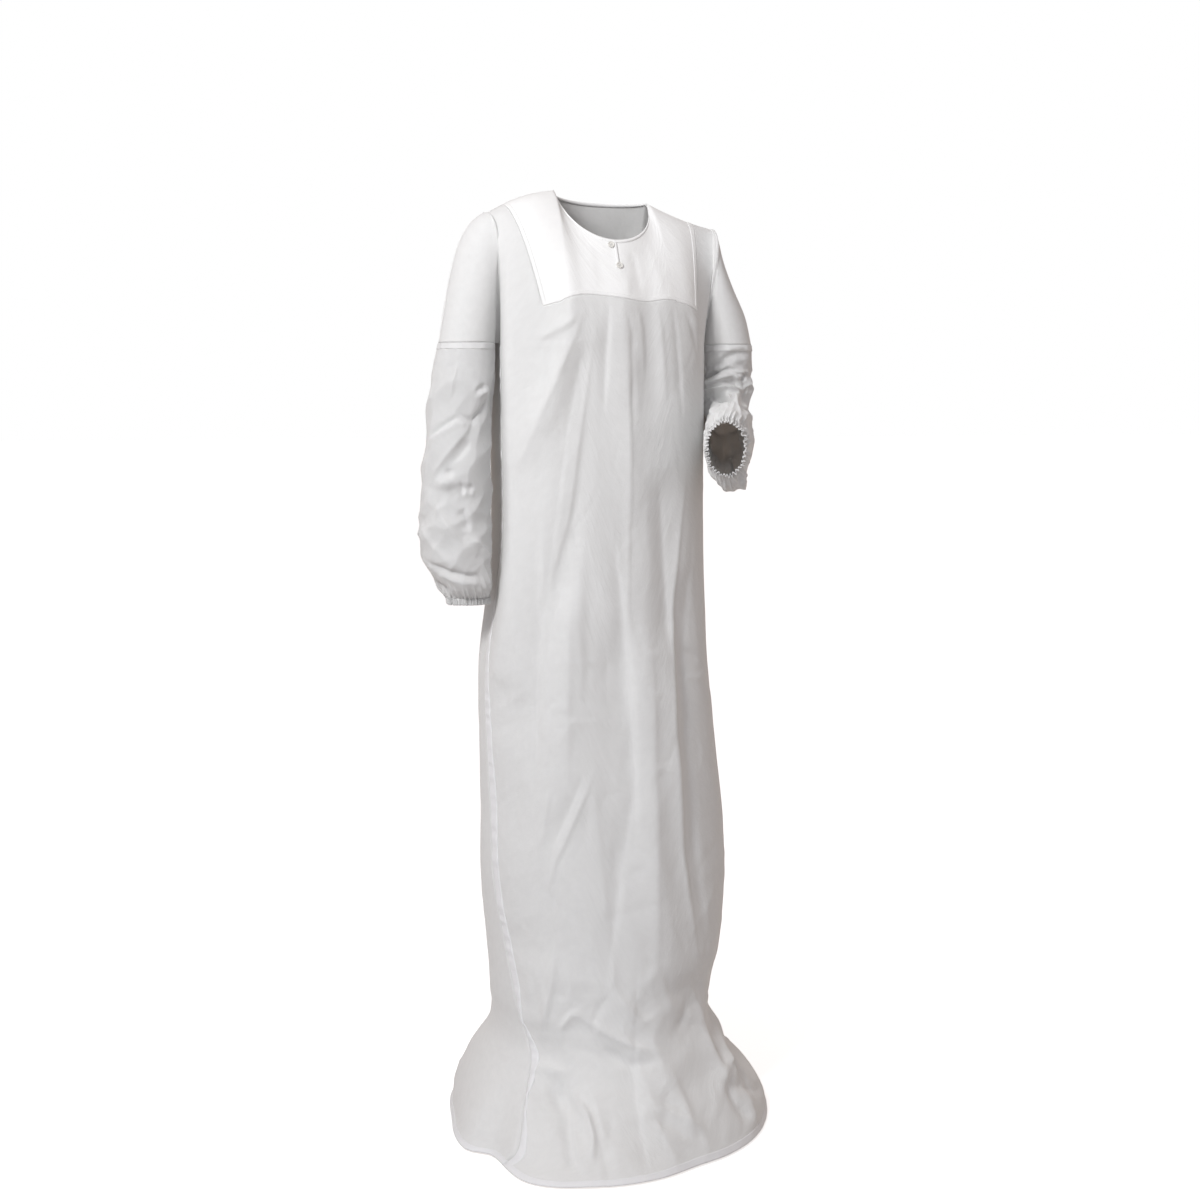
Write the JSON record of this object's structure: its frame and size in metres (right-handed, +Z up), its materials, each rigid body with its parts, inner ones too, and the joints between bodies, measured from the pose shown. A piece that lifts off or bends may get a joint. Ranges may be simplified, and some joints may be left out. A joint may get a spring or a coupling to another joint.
{
  "type": "jilbab",
  "caption": "Long loose dress with a fitted bib yoke, dropped shoulders and full gathered sleeves, in its worn hollow form with a spreading hem.",
  "frame": {"origin": "between the shoulders at the height of the neck's sides, where the wearer's shoulders carry the garment, 1480 mm above the level of the hem", "axes": "+Z up, the front of the garment faces -Y, +X towards the wearer's left"},
  "size_m": [0.5778, 0.6471, 1.4825],
  "materials": {
    "cotton_cloth": "plain woven white cotton, matt with a faint sheen",
    "shirt_button": "polished off-white polyester"
  },
  "bodies": {
    "root": {"front_panel": "cotton_cloth", "back_panel": "cotton_cloth", "front_yoke": "cotton_cloth", "sleeve_right": "cotton_cloth", "sleeve_left": "cotton_cloth", "cuff_right": "cotton_cloth", "cuff_left": "cotton_cloth", "neck_binding": "cotton_cloth", "button_top": "shirt_button", "button_lower": "shirt_button"}
  },
  "joints": []
}
